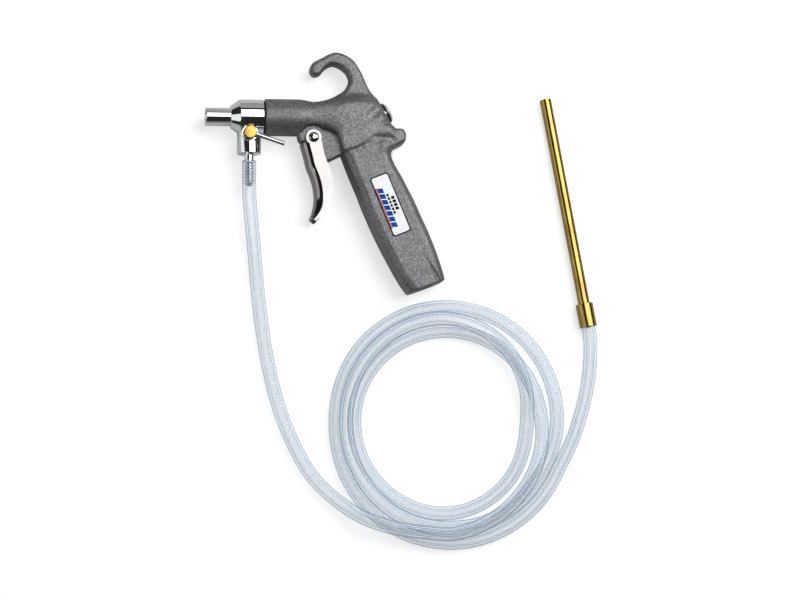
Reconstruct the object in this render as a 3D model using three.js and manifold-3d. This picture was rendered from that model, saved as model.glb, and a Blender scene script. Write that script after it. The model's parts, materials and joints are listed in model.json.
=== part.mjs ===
// Siphon spray gun: a die-cast air gun with a siphon head on its barrel, a clear pickup hose and a
// brass pickup tube. Millimetres, +Z up. The gun lies on its side on z = 0, barrel along -X and
// grip towards -Y, with the origin under the middle of the gun's own box.

import * as THREE from 'three';
import Module from 'manifold-3d';
import { mergeVertices } from 'three/addons/utils/BufferGeometryUtils.js';

const wasm = await Module();
wasm.setup();

// ---- Driving dimensions ----

const MID = 12.6;                 // height of the gun's mid-plane
const HALF_THICK = 12.6;          // half the thickness of the barrel and housing
const GRIP_HALF = 11.8;           // and of the grip
const FACETS = 24;                // facets around a full turn
const FIT = 0.3;                  // gap between neighbours that don't move
const UP = new THREE.Vector3(0, 1, 0);

const BARREL_Y = 37.4;            // height of the barrel axis
const BARREL_FRONT = -40.1;       // face that the siphon head screws up to
const BARREL_BORE = 4;            // radius
const SOCKET = { radius: 6.6, depth: 12.5 };   // thread at the mouth of the barrel

const HEAD = { radius: 12, front: -57.1, nose: -63.2, mouth: -80.24, tube: 6.2 };
const BOSS = { x: -50.8, radius: 8, bottom: 12.1 };
const PLUG = { y: 25.3, bore: 3.3, head: 4.55, top: 24.6, underside: 21.0 };
const HANDLE = { radius: 1.5, reach: 24.3, angle: -18.4, z: 22.8 };
const BARB = { tip: -9.4, stem: 2.65, ridge: 3.3, pitch: 2.05, ridges: 8, first: 6.6, bore: 1.5 };

const CAP_CENTRE = new THREE.Vector3(42.2, 41.3, MID);
const VALVE_ANGLE = 30;           // the valve line falls this much towards the front, in degrees
const CHAMBER = { radius: 5.9, end: 14 };
const CAVITY = { radius: 4, end: 40 };
const PACKING = { radius: 4.25, start: 44 };
const STEM_RADIUS = 1.5;
const STEM_TIP = 62.2;            // measured forward from the cap's seat, as are all on this line

const PIVOT = { x: -7.75, y: 22.9, radius: 1.9, head: 3.5 };
const TRIGGER = { half: 8.5, wall: 1.6, round: 1.1, ear: 5.5 };
const LUG_HALF = 6.5;
const HOOK_HALF = 6;
const TAIL_HALF = 10;

const HEEL = new THREE.Vector3(80.24, -73.8, MID);   // rear end of the grip's bottom edge
const TOE = new THREE.Vector3(56.8, -82.5, MID);    // front end of it
const INLET = { radius: 5.95, depth: 13, passage: 3.5 };
const NECK = new THREE.Vector3(35.7, 3.6, MID);     // where the air passage turns up to the valve

const LABEL = { x: 43.4, y: -23.2, length: 42.8, width: 13.3, thick: 0.3, lean: -68.1, corner: 2 };

const HOSE_RADIUS = 4.76;
const HOSE_SIDES = 10;
const FERRULE_MOUTH = new THREE.Vector3(181.8, -103.7, 6.25);
const PICKUP_TIP = new THREE.Vector3(155.5, 54.3, 4.05);
const FERRULE = { outer: 5.95, inner: 5.1, length: 16, roof: 2.4 };
const PICKUP = { outer: 3.97, inner: 3.15, inside: 3.5 };
const COIL = { x: 83.1, y: -170, inner: 55, outer: 82.5, height: 19 };

// The hose's route, centre line, from the barb's tip to the coil and from the coil to the ferrule.
const LEAD_IN = [
  [-50.8, -9.8, 12.6], [-50.6, -18.6, 12.3], [-49.4, -32.3, 10.9], [-48, -45.7, 8.8],
  [-46.7, -59, 6.8], [-45.5, -72.4, 5.4], [-44.3, -85.9, 4.9], [-41, -113, 4.85],
  [-36, -139.9, 4.85], [-28.4, -166.8, 4.85], [-16.3, -193.7, 4.85], [-7.3, -207.1, 4.85],
  [2.7, -217.2, 4.85], [15.5, -227.3, 4.85],
];
const LEAD_OUT = [
  [171.5, -175.4, 4.85], [174.3, -167.2, 4.85], [177.6, -156.2, 4.85], [180.2, -145.4, 4.85],
  [182, -134.4, 4.95], [182.9, -123.6, 5.3], [182.9, -113.2, 5.95], [181.88, -104.05, 6.25],
];

// ---- Helpers ----

// A closed geometry as a solid: shared corners merged, flat triangles dropped, faces turned outwards.
function solid(geometry) {
  geometry.deleteAttribute('normal');
  geometry.deleteAttribute('uv');
  const merged = mergeVertices(geometry, 1e-4);
  const places = merged.getAttribute('position').array;
  const index = merged.getIndex().array;
  const kept = [];
  let volume = 0;
  const [a, b, c] = [new THREE.Vector3(), new THREE.Vector3(), new THREE.Vector3()];
  for (let i = 0; i < index.length; i += 3) {
    const [p, q, r] = [index[i], index[i + 1], index[i + 2]];
    if (p === q || q === r || r === p) continue;
    kept.push([p, q, r]);
    a.fromArray(places, 3 * p);
    b.fromArray(places, 3 * q);
    c.fromArray(places, 3 * r);
    volume += a.dot(b.cross(c));
  }
  const triVerts = new Uint32Array((volume < 0 ? kept.map((t) => t.reverse()) : kept).flat());
  const vertProperties = new Float32Array(places);
  return new wasm.Manifold(new wasm.Mesh({ numProp: 3, vertProperties, triVerts }));
}

// A solid turned about the local Y axis. The profile's points are [radius, place along the axis].
function turned(profile, facets = FACETS) {
  const points = profile.map(([radius, along]) => new THREE.Vector2(radius, along));
  return solid(new THREE.LatheGeometry(points, facets));
}

function rod(radius, start, end, chamfer = 0, facets = FACETS) {
  return turned([
    [0, start], [radius - chamfer, start], [radius, start + chamfer],
    [radius, end - chamfer], [radius - chamfer, end], [0, end],
  ], facets);
}

function sleeve(outer, inner, start, end, facets = FACETS) {
  return turned([[inner, start], [outer, start], [outer, end], [inner, end], [inner, start]], facets);
}

function shapeOf(points) {
  const shape = new THREE.Shape();
  shape.moveTo(...points[0]);
  points.slice(1).forEach((point) => shape.lineTo(...point));
  shape.closePath();
  return shape;
}

// A smooth line through a few points, as many short steps.
function smooth(points, steps) {
  return new THREE.SplineCurve(points.map(([x, y]) => new THREE.Vector2(x, y)))
    .getPoints(steps).map((point) => [point.x, point.y]);
}

// A flat outline given thickness across the mid-plane, with its edges rounded.
function plate(points, half, round, facets = 2) {
  const geometry = new THREE.ExtrudeGeometry(shapeOf(points), {
    depth: 2 * (half - round), steps: 1, curveSegments: 12, bevelEnabled: round > 0,
    bevelThickness: round, bevelSize: round, bevelOffset: -round, bevelSegments: facets,
  });
  return solid(geometry.translate(0, 0, MID - half + round));
}

function geometryOf(shape) {
  const { vertProperties, triVerts } = shape.getMesh();
  const geometry = new THREE.BufferGeometry();
  geometry.setAttribute('position', new THREE.BufferAttribute(new Float32Array(vertProperties), 3));
  geometry.setIndex(new THREE.BufferAttribute(new Uint32Array(triVerts), 1));
  geometry.computeVertexNormals();
  return geometry;
}

function add(parent, name, shape, [color, roughness, metalness]) {
  const finish = new THREE.MeshStandardMaterial({ color, roughness, metalness, flatShading: true });
  const mesh = new THREE.Mesh(geometryOf(shape), finish);
  mesh.name = name;
  parent.add(mesh);
}

// A group whose local Y axis starts at a point and runs along a direction.
function axisGroup(origin, direction) {
  const group = new THREE.Group();
  group.position.copy(origin);
  group.quaternion.setFromUnitVectors(UP, direction.clone().normalize());
  group.updateMatrixWorld(true);
  return group;
}

function inPlace(shape, group) {
  return shape.transform(group.matrixWorld.toArray());
}

const FINISH = {
  casting: [0x77797b, 0.55, 0.9],
  nickel: [0xd8d6d0, 0.22, 1],
  chrome: [0xd9dcdf, 0.08, 1],
  brass: [0xc9a04a, 0.28, 1],
  steel: [0xb4b6b8, 0.3, 1],
  rubber: [0x1c1c1d, 0.8, 0],
  nylon: [0xe9e5da, 0.6, 0],
  hose: [0xc6d6e0, 0.15, 0],
  label: [0xf4f4f2, 0.45, 0],
};

// ---- Axes that the pieces are turned on ----

const gun = new THREE.Group();
const forward = new THREE.Vector3(-1, 0, 0);
const radians = THREE.MathUtils.degToRad;
const valveDirection = new THREE.Vector3(-Math.cos(radians(VALVE_ANGLE)), -Math.sin(radians(VALVE_ANGLE)), 0);
const along = new THREE.Vector3().subVectors(HEEL, TOE).normalize();
const outOfGrip = new THREE.Vector3(along.y, -along.x, 0);
const gripEnd = new THREE.Vector3().addVectors(HEEL, TOE).multiplyScalar(0.5);

const barrelLine = axisGroup(new THREE.Vector3(0, BARREL_Y, MID), forward);
const valveLine = axisGroup(CAP_CENTRE, valveDirection);
const inletLine = axisGroup(gripEnd, outOfGrip);
const pivotLine = axisGroup(new THREE.Vector3(PIVOT.x, PIVOT.y, 0), new THREE.Vector3(0, 0, 1));
const plugLine = axisGroup(new THREE.Vector3(BOSS.x, PLUG.y, 0), new THREE.Vector3(0, 0, 1));
const bossLine = axisGroup(new THREE.Vector3(BOSS.x, 0, MID), new THREE.Vector3(0, 1, 0));
const pickupLine = axisGroup(FERRULE_MOUTH, new THREE.Vector3().subVectors(PICKUP_TIP, FERRULE_MOUTH));
const handleLine = axisGroup(
  new THREE.Vector3(BOSS.x, PLUG.y, HANDLE.z),
  new THREE.Vector3(Math.cos(radians(HANDLE.angle)), Math.sin(radians(HANDLE.angle)), 0),
);
gun.add(barrelLine, valveLine, pivotLine, plugLine, bossLine, pickupLine, handleLine);

// Distance along the barrel line of a place given by its x.
const at = (x) => -x;

// ---- Gun body: barrel, housing with its beavertail, grip, trigger lug and hook, one casting ----

function gunBody() {
  const front = smooth([
    [11, 14.5], [14.3, 4.9], [18, -4.6], [25.5, -23.6], [33, -41.3], [39.1, -53.9], [47.6, -69.9],
    [51.6, -76.6],
  ], 12);
  const back = smooth([
    [79.2, -66.5], [77.5, -61.7], [71.7, -45.4], [64.6, -29.1], [57.1, -12.8], [49.3, 1.9],
    [45.4, 11], [45.2, 20],
  ], 14);
  const grip = plate([...front, [TOE.x, TOE.y], [HEEL.x, HEEL.y], ...back, [28, 30]], GRIP_HALF, 3.2);
  const housing = plate([
    [7, 30], [9.4, 20], [11.2, 13.2], [20.1, 14.1], [30.3, 18.5], [41, 22.3], [47.3, 23.5],
    [46.6, 31], [43.9, 36.2], [38.4, 45.4], [34, 48.4], [7, 48.2],
  ], HALF_THICK, 3.2);
  const tail = plate([
    [38, 12], ...smooth([[45.9, 16.2], [52, 19.2], [55.2, 22.4], [54.7, 27.7], [51.3, 30], [47.6, 29.6]], 8),
    [38, 32],
  ], TAIL_HALF, 1.2);

  const hook = plate([
    ...smooth([
      [2, 44], [7.8, 51.2], [13.9, 56.3], [17.3, 63.4], [14.6, 69.5], [6.5, 73.7], [1, 70.9],
      [-3.1, 66.5], [-7.3, 66.3], [-9.4, 70], [-7.6, 74.6], [-2.4, 77.7], [8.5, 82.5], [19.4, 78],
      [25.5, 69.2], [30.3, 58.3], [37, 46],
    ], 32), [30, 38],
  ], HOOK_HALF, 2);

  const lug = plate([
    ...smooth([[-18, 27], [-12.6, 30.4], [-7.1, 31.1], [-1, 30.4]], 8), [6, 32], [16, 16],
    [11.2, 11.7], [3.1, 7.7], [-1, 6.8], [-7.8, 18.5], [-15.6, 20.2], [-17.3, 21.9],
  ], LUG_HALF, 0.8, 2);

  const barrel = inPlace(turned([
    [0, at(26)], [11.2, at(26)], [11.2, at(-9)], [HALF_THICK, at(-16)],
    [HALF_THICK, at(BARREL_FRONT) - 0.5], [HALF_THICK - 0.5, at(BARREL_FRONT)], [0, at(BARREL_FRONT)],
  ], 36), barrelLine);
  const passage = axisGroup(gripEnd, new THREE.Vector3().subVectors(NECK, gripEnd));
  const riser = axisGroup(NECK, new THREE.Vector3(-1.2, 33, 0));
  const cuts = [
    inPlace(rod(BARREL_BORE, at(25.5), at(BARREL_FRONT) + 1), barrelLine),
    inPlace(rod(SOCKET.radius, at(BARREL_FRONT) - SOCKET.depth, at(BARREL_FRONT) + 1), barrelLine),
    inPlace(rod(7.8, -14, 0), valveLine),
    inPlace(rod(CHAMBER.radius, -1, CHAMBER.end), valveLine),
    inPlace(rod(CAVITY.radius, CHAMBER.end - 1, CAVITY.end), valveLine),
    inPlace(rod(STEM_RADIUS + 0.2, CAVITY.end - 1, PACKING.start + 1, 0, 20), valveLine),
    inPlace(rod(PACKING.radius, PACKING.start, STEM_TIP), valveLine),
    inPlace(rod(PIVOT.radius + 0.1, 0, 2 * MID, 0, 24), pivotLine),
    inPlace(rod(TRIGGER.ear + FIT, MID + LUG_HALF, MID + TRIGGER.half + FIT), pivotLine),
    inPlace(rod(TRIGGER.ear + FIT, MID - TRIGGER.half - FIT, MID - LUG_HALF), pivotLine),
    inPlace(rod(INLET.radius, -INLET.depth, 1), inletLine),
    inPlace(rod(INLET.passage, 0, NECK.distanceTo(gripEnd) + 1), passage),
    inPlace(rod(INLET.passage, -1, 33), riser),
  ];
  return cuts.reduce((body, cut) => body.subtract(cut), grip.add(housing).add(tail).add(hook).add(lug).add(barrel));
}

add(gun, 'gun_body', gunBody(), FINISH.casting);

// ---- Air valve, on the valve line, measured forward from the cap's seat ----

function springCoil(radius, wire, start, end, turns, stepsPerTurn) {
  class Helix extends THREE.Curve {
    getPoint(t) {
      const angle = 2 * Math.PI * turns * t;
      const height = THREE.MathUtils.lerp(start, end, t);
      return new THREE.Vector3(radius * Math.cos(angle), height, radius * Math.sin(angle));
    }
  }
  const section = new THREE.Shape().absarc(0, 0, wire, 0, 2 * Math.PI);
  const steps = turns * stepsPerTurn;
  return solid(new THREE.ExtrudeGeometry(section, { steps, curveSegments: 3, extrudePath: new Helix() }));
}

function valveCap() {
  const dome = turned([
    [0, -3.4], [4.2, -3.2], [6.2, -2.5], [7.3, -1.2], [7.3, -0.9], [5.4, -0.9], [5.4, 4.5],
    [3.8, 4.5], [3.8, -0.6], [0, -0.6],
  ]);
  const slot = solid(new THREE.BoxGeometry(9, 1.6, 1.4).translate(0, -3.4, 0));
  return dome.subtract(slot);
}

add(valveLine, 'valve_cap', valveCap(), FINISH.nickel);
add(valveLine, 'cap_gasket', sleeve(7.1, 5.6, -0.8, -0.1), FINISH.rubber);
add(valveLine, 'valve_spring', springCoil(2.8, 0.35, -0.15, 7.7, 6, 12), FINISH.steel);
add(valveLine, 'valve_poppet', turned([
  [0, 8.2], [4.3, 8.2], [4.7, 8.6], [4.7, 11.3], [0, 11.3],
]), FINISH.brass);
add(valveLine, 'seat_washer', sleeve(4.7, STEM_RADIUS + 0.1, 11.4, 13.7), FINISH.rubber);
add(valveLine, 'valve_stem', turned([
  [0, 11.4], [STEM_RADIUS, 11.4], [STEM_RADIUS, STEM_TIP - 0.9], [0.9, STEM_TIP - 0.15], [0, STEM_TIP],
], 20), FINISH.steel);
add(valveLine, 'stem_packing', sleeve(4.05, STEM_RADIUS + 0.1, 44.3, 49.2, 28), FINISH.nylon);

function packingGland() {
  const hexagon = solid(new THREE.CylinderGeometry(4.7, 4.7, 2.2, 6).translate(0, 56.2, 0));
  const bore = rod(STEM_RADIUS + 0.15, 49, 58, 0, 20);
  return rod(4.05, 49.5, 55.2, 0.3, 28).add(hexagon).subtract(bore);
}

add(valveLine, 'packing_gland', packingGland(), FINISH.brass);

// ---- Trigger: a bent channel that hangs on its pin and straddles the lug ----

function trigger() {
  const web = smooth([
    [-16.6, 19.6], [-15, 15.8], [-13.6, 9], [-12.2, 2.9], [-10.5, -1.2], [-8.8, -6],
    [-7.6, -11.4], [-7.1, -16.8], [-7.3, -20.9], [-8.2, -25.7], [-10.2, -31.4],
  ], 14);
  const edge = smooth([
    [-4.9, -32.8], [-2.9, -30.4], [0.5, -26.4], [2.6, -21.6], [4.2, -15.5], [4.8, -10], [4.6, -6],
    [3.6, -0.5], [2.2, 4.9], [0.5, 7.7], [-1.2, 14.5], [-2.1, 20.4],
  ], 15);
  const ear = [];
  for (let angle = 0; angle <= 150; angle += 25) {
    const turn = radians(angle);
    ear.push([PIVOT.x + TRIGGER.ear * Math.cos(turn), PIVOT.y + TRIGGER.ear * Math.sin(turn)]);
  }
  const tip = [[-9.6, -33.6], [-7.3, -34.7]];
  const outer = plate([...web, ...tip, ...edge, ...ear], TRIGGER.half, TRIGGER.round);
  const inner = plate([
    ...web.map(([x, y]) => [x + TRIGGER.wall, y]), [-8, -40], [20, -40], [20, 40], [-24, 40], [-24, 20.6],
  ], TRIGGER.half - TRIGGER.wall, 0);
  const hole = inPlace(rod(PIVOT.radius + 0.1, 0, 2 * MID, 0, 24), pivotLine);
  return outer.subtract(inner).subtract(hole);
}

add(gun, 'trigger', trigger(), FINISH.nickel);

add(pivotLine, 'trigger_pin', turned([
  [0, 2.2], [PIVOT.radius - 0.5, 2.2], [PIVOT.radius - 0.5, 3.9], [PIVOT.radius, 4.1],
  [PIVOT.radius, 21.25], [PIVOT.head, 21.25], [PIVOT.head, 22], [PIVOT.head - 0.6, 22.5], [0, 22.5],
], 24), FINISH.steel);
add(pivotLine, 'pin_retainer', sleeve(3.4, PIVOT.radius - 0.35, 3, 3.8, 24), FINISH.steel);

// ---- Siphon head: screws into the barrel, carries the petcock, the mixing tube and the barb ----

function siphonHead() {
  const shell = inPlace(turned([
    [0, at(BARREL_FRONT) - 11], [SOCKET.radius - 0.2, at(BARREL_FRONT) - 11],
    [SOCKET.radius - 0.2, at(BARREL_FRONT) + 0.9], [HEAD.radius - 0.6, at(BARREL_FRONT) + 0.9],
    [HEAD.radius, at(BARREL_FRONT) + 1.5], [HEAD.radius, at(HEAD.front)],
    [HEAD.tube + 1.3, at(HEAD.nose)], [0, at(HEAD.nose)],
  ], 32), barrelLine);
  const boss = inPlace(rod(BOSS.radius, BOSS.bottom, BARREL_Y, 0.6), bossLine);
  const pad = inPlace(rod(5.6, 3.9, 20.9, 0.3), plugLine);
  const cuts = [
    inPlace(rod(3, 0, at(BARREL_FRONT) + 6), barrelLine),
    inPlace(rod(2.6, at(BARREL_FRONT) + 5, at(BARREL_FRONT) + 14), barrelLine),
    inPlace(rod(HEAD.tube + 0.2, at(BARREL_FRONT) + 12, at(HEAD.nose) + 1), barrelLine),
    inPlace(rod(PLUG.bore, 0, 2 * MID), plugLine),
    inPlace(rod(5.2, 0, 3.9), plugLine),
    inPlace(rod(5.2, 20.9, 2 * MID), plugLine),
    inPlace(rod(1.6, BOSS.bottom + 7, BARREL_Y - 4, 0, 20), bossLine),
    inPlace(rod(3.3, BOSS.bottom - 1, BOSS.bottom + 8), bossLine),
  ];
  return cuts.reduce((body, cut) => body.subtract(cut), shell.add(boss).add(pad));
}

add(gun, 'siphon_head', siphonHead(), FINISH.chrome);
add(barrelLine, 'head_gasket', sleeve(11.2, 7, at(BARREL_FRONT) + 0.15, at(BARREL_FRONT) + 0.75), FINISH.rubber);
add(barrelLine, 'nozzle_tube', turned([
  [4, at(HEAD.front) + 0.4], [HEAD.tube, at(HEAD.front) + 0.4], [HEAD.tube, at(HEAD.mouth) - 0.4],
  [HEAD.tube - 0.4, at(HEAD.mouth)], [4, at(HEAD.mouth)], [4, at(HEAD.front) + 0.4],
], 32), FINISH.chrome);
add(barrelLine, 'air_jet', turned([
  [0.9, at(BARREL_FRONT) + 6.4], [2.3, at(BARREL_FRONT) + 6.4], [2.3, at(BARREL_FRONT) + 14],
  [1.5, at(BARREL_FRONT) + 19.4], [0.9, at(BARREL_FRONT) + 19.4], [0.9, at(BARREL_FRONT) + 6.4],
], 24), FINISH.brass);

function meteringPlug() {
  const body = turned([
    [0, 0.6], [1.6, 0.6], [1.6, 3.7], [2.9, 3.9], [2.9, PLUG.underside],
    [PLUG.head, PLUG.underside], [PLUG.head, PLUG.top - 0.6], [PLUG.head - 0.6, PLUG.top], [0, PLUG.top],
  ], 24);
  const port = solid(new THREE.CylinderGeometry(1.3, 1.3, 12, 16).translate(BOSS.x, PLUG.y, MID));
  const cross = inPlace(rod(HANDLE.radius + 0.05, -10, 10, 0, 16), handleLine);
  return inPlace(body, plugLine).subtract(port).subtract(cross);
}

add(gun, 'metering_plug', meteringPlug(), FINISH.brass);
add(handleLine, 'plug_handle', rod(HANDLE.radius, -4, HANDLE.reach, 0.4, 16), FINISH.steel);
add(plugLine, 'plug_washer', sleeve(4.6, 2, 2.7, 3.5, 28), FINISH.steel);

function plugNut() {
  const hexagon = solid(new THREE.CylinderGeometry(4.4, 4.4, 1.7, 6).translate(0, 1.7, 0));
  return hexagon.subtract(rod(1.8, 0, 5, 0, 20));
}

add(plugLine, 'plug_nut', plugNut(), FINISH.steel);

function hoseBarb() {
  const profile = [[BARB.bore, 19], [BARB.stem + 0.4, 19], [BARB.stem + 0.4, BARB.first + 1.4]];
  for (let ridge = 0; ridge < BARB.ridges; ridge += 1) {
    const top = BARB.first - ridge * BARB.pitch;
    profile.push([BARB.ridge, top], [BARB.stem, top - BARB.pitch + 0.1]);
  }
  profile.push([BARB.stem - 0.5, BARB.tip], [BARB.bore, BARB.tip], [BARB.bore, 19]);
  return turned(profile, 16);
}

add(bossLine, 'hose_barb', hoseBarb(), FINISH.chrome);

// ---- Label on the upper flank of the grip ----

function label() {
  const [x, y, r] = [LABEL.length / 2, LABEL.width / 2, LABEL.corner];
  const face = new THREE.Shape().moveTo(-x + r, -y).lineTo(x - r, -y).absarc(x - r, -y + r, r, -Math.PI / 2, 0)
    .absarc(x - r, y - r, r, 0, Math.PI / 2).absarc(-x + r, y - r, r, Math.PI / 2, Math.PI)
    .absarc(-x + r, -y + r, r, Math.PI, 1.5 * Math.PI);
  return solid(new THREE.ExtrudeGeometry(face, { depth: LABEL.thick, bevelEnabled: false, curveSegments: 3 }));
}

const labelPlace = new THREE.Group();
labelPlace.position.set(LABEL.x, LABEL.y, MID + GRIP_HALF + 0.06);
labelPlace.rotation.z = radians(LABEL.lean);
gun.add(labelPlace);
add(labelPlace, 'label', label(), FINISH.label);

// ---- Pickup hose, ferrule and pickup tube ----

function hose(points, steps) {
  const section = new THREE.Shape();
  for (let side = 0; side < HOSE_SIDES; side += 1) {
    const turn = 2 * Math.PI * (side + 0.5) / HOSE_SIDES;
    section[side ? 'lineTo' : 'moveTo'](HOSE_RADIUS * Math.cos(turn), HOSE_RADIUS * Math.sin(turn));
  }
  const extrudePath = new THREE.CatmullRomCurve3(points.map((point) => new THREE.Vector3(...point)));
  return solid(new THREE.ExtrudeGeometry(section, { steps, extrudePath }));
}

function coil() {
  const [middle, half] = [(COIL.inner + COIL.outer) / 2, (COIL.outer - COIL.inner) / 2];
  const profile = [];
  const round = 4.6;
  const corners = [
    [middle + half - round, round, -90], [middle + half - round, COIL.height - round, 0],
    [middle - half + round, COIL.height - round, 90], [middle - half + round, round, 180],
  ];
  corners.forEach(([x, y, from]) => {
    for (let angle = from; angle <= from + 90; angle += 45) {
      profile.push([x + round * Math.cos(radians(angle)), y + round * Math.sin(radians(angle))]);
    }
  });
  profile.push(profile[0]);
  return turned(profile, 40);
}

add(gun, 'hose_lead_in', hose(LEAD_IN, 18), FINISH.hose);
const coilPlace = axisGroup(new THREE.Vector3(COIL.x, COIL.y, 0.05), new THREE.Vector3(0, 0, 1));
gun.add(coilPlace);
add(coilPlace, 'hose_coil', coil(), FINISH.hose);
add(gun, 'hose_lead_out', hose(LEAD_OUT, 10), FINISH.hose);

const pickupEnd = PICKUP_TIP.distanceTo(FERRULE_MOUTH);
const roofStart = FERRULE.length - FERRULE.roof;
add(pickupLine, 'ferrule', turned([
  [FERRULE.inner, 0], [FERRULE.outer, 0], [FERRULE.outer, FERRULE.length], [PICKUP.outer + 0.3, FERRULE.length],
  [PICKUP.outer + 0.3, roofStart], [FERRULE.inner, roofStart], [FERRULE.inner, 0],
], 28), FINISH.brass);
add(pickupLine, 'pickup_tube', sleeve(PICKUP.outer, PICKUP.inner, FERRULE.length - PICKUP.inside, pickupEnd, 32), FINISH.brass);
add(pickupLine, 'hose_insert', turned([
  [1.9, 1.5], [2.6, 1.5], [3.15, 2.6], [2.6, 5], [3.15, 6], [2.6, 8.4], [3.15, 9.4], [2.7, 12.8],
  [2.7, 20], [1.9, 20], [1.9, 1.5],
], 16), FINISH.brass);

export default gun;
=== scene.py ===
import json
from math import cos, pi, radians, sin, sqrt, tan

import bpy
import numpy as np
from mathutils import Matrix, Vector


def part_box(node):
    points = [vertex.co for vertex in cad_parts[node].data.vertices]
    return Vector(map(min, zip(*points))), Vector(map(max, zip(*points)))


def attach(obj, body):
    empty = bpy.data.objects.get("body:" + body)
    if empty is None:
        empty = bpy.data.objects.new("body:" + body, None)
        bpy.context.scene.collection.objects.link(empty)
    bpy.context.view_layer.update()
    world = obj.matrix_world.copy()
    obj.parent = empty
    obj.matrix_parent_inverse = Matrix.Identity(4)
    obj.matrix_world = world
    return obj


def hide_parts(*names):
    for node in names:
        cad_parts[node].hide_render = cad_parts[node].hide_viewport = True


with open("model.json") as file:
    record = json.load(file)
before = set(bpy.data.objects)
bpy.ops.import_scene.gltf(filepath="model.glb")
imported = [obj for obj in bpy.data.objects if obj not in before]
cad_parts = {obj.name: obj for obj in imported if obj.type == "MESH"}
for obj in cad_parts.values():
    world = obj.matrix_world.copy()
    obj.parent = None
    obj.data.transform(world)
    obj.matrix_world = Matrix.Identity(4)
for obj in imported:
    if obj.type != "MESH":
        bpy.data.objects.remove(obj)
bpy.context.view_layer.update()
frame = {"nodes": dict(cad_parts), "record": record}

import openvdb
from mathutils import Matrix, Vector

MM = 0.001
TURN = 2 * pi


# ---- Places taken from the frame, in metres ----

def middle(node):
    low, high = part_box(node)
    return (low + high) / 2


def joint(name):
    return next(j for j in frame["record"]["behaviour"]["joints"] if j["name"] == name)


GUN_MID = middle("gun_body").z                      # height of the gun's mid-plane
PIVOT = Vector(joint("trigger_pull")["pos_m"])
PLUG_AXIS = Vector(joint("petcock_turn")["pos_m"])
VALVE_BACK = Vector(joint("valve_travel")["axis"]).normalized()   # runs back along the valve line
CAP_CENTRE = Vector(joint("valve_travel")["deforming_nodes"][0]["fixed_end_m"])


# ---- Camera: a long lens above the gun, leaning to its nozzle side and its grip side ----

def make_camera():
    lean_left, lean_down = radians(8.5), radians(7)
    distance, width = 1.7, 0.5402
    target = Vector((0.0507, -0.0865, 0.0126))
    back = Vector((-tan(lean_left), -tan(lean_down), 1)).normalized()
    up = Vector((0.014, 1, 0))
    up = (up - back * up.dot(back)).normalized()
    rotation = Matrix((up.cross(back), up, back)).transposed().to_4x4()
    camera = bpy.data.objects.new("camera", bpy.data.cameras.new("camera"))
    camera.matrix_world = Matrix.Translation(target + back * distance) @ rotation
    camera.data.lens = camera.data.sensor_width * distance / width
    camera.data.clip_end = 20
    bpy.context.collection.objects.link(camera)
    bpy.context.scene.camera = camera


make_camera()


# ---- Node helpers for the materials ----

class Shader:
    """A material whose Principled shader gets its inputs from procedural nodes."""

    def __init__(self, name, colour=(0.5, 0.5, 0.5), **settings):
        self.material = bpy.data.materials.new(name)
        self.material.use_nodes = True
        self.tree = self.material.node_tree
        self.principled = self.tree.nodes["Principled BSDF"]
        self.principled.inputs["Base Color"].default_value = (*colour, 1)
        for key, value in settings.items():
            self.principled.inputs[key.replace("_", " ")].default_value = value
        self.place = self.node("ShaderNodeTexCoord").outputs["Object"]

    def node(self, kind, **inputs):
        made = self.tree.nodes.new(kind)
        for key, value in inputs.items():
            self.put(made.inputs[key.replace("_", " ")], value)
        return made

    def put(self, socket, value):
        if isinstance(value, bpy.types.NodeSocket):
            self.tree.links.new(value, socket)
        else:
            socket.default_value = value

    def noise(self, scale, detail=2.0, stretch=(1, 1, 1), roughness=0.5):
        place = self.node("ShaderNodeMapping", Vector=self.place, Scale=stretch).outputs[0]
        return self.node("ShaderNodeTexNoise", Vector=place, Scale=scale, Detail=detail,
                         Roughness=roughness).outputs["Fac"]

    def ramp(self, factor, *stops):
        made = self.node("ShaderNodeValToRGB", Fac=factor)
        line = made.color_ramp
        while len(line.elements) < len(stops):
            line.elements.new(0.5)
        for element, (place, colour) in zip(line.elements, stops):
            element.position = place
            element.color = (*colour, 1) if isinstance(colour, tuple) else (colour, colour, colour, 1)
        return made.outputs["Color"]

    def mix(self, factor, a, b, blend="MIX"):
        made = self.tree.nodes.new("ShaderNodeMix")
        made.data_type = "RGBA"
        made.blend_type = blend
        self.put(made.inputs[0], factor)
        self.put(made.inputs[6], a if not isinstance(a, tuple) else (*a, 1))
        self.put(made.inputs[7], b if not isinstance(b, tuple) else (*b, 1))
        return made.outputs[2]

    def span(self, factor, low, high):
        return self.node("ShaderNodeMapRange", Value=factor, To_Min=low, To_Max=high).outputs[0]

    def bump(self, height, strength, distance, normal=None):
        made = self.node("ShaderNodeBump", Height=height, Strength=strength, Distance=distance)
        if normal:
            self.put(made.inputs["Normal"], normal)
        return made.outputs[0]

    def use(self, **inputs):
        for key, value in inputs.items():
            self.put(self.principled.inputs[key.replace("_", " ")], value)
        return self.material


def blasted_aluminium():
    """Die casting, bead blasted: grey, with a bright and dark grain and soft blotches."""
    s = Shader("blasted_aluminium", Metallic=0.72)
    fine = s.noise(2400, 3, roughness=0.7)
    coarse = s.noise(850, 4, roughness=0.8)
    grain = s.mix(0.55, fine, coarse)
    blotch = s.noise(110, 4)
    tone = s.ramp(grain, (0.37, (0.03, 0.03, 0.032)), (0.5, (0.16, 0.163, 0.168)),
                  (0.63, (0.54, 0.54, 0.545)))
    shade = s.ramp(blotch, (0.35, (0.145, 0.135, 0.13)), (0.68, (0.215, 0.222, 0.232)))
    rough = s.span(fine, 0.62, 0.4)
    normal = s.bump(grain, 0.4, 0.0003, s.bump(s.noise(520, 3), 0.16, 0.0005))
    return s.use(Base_Color=s.mix(0.35, tone, shade), Roughness=rough, Normal=normal)


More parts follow.
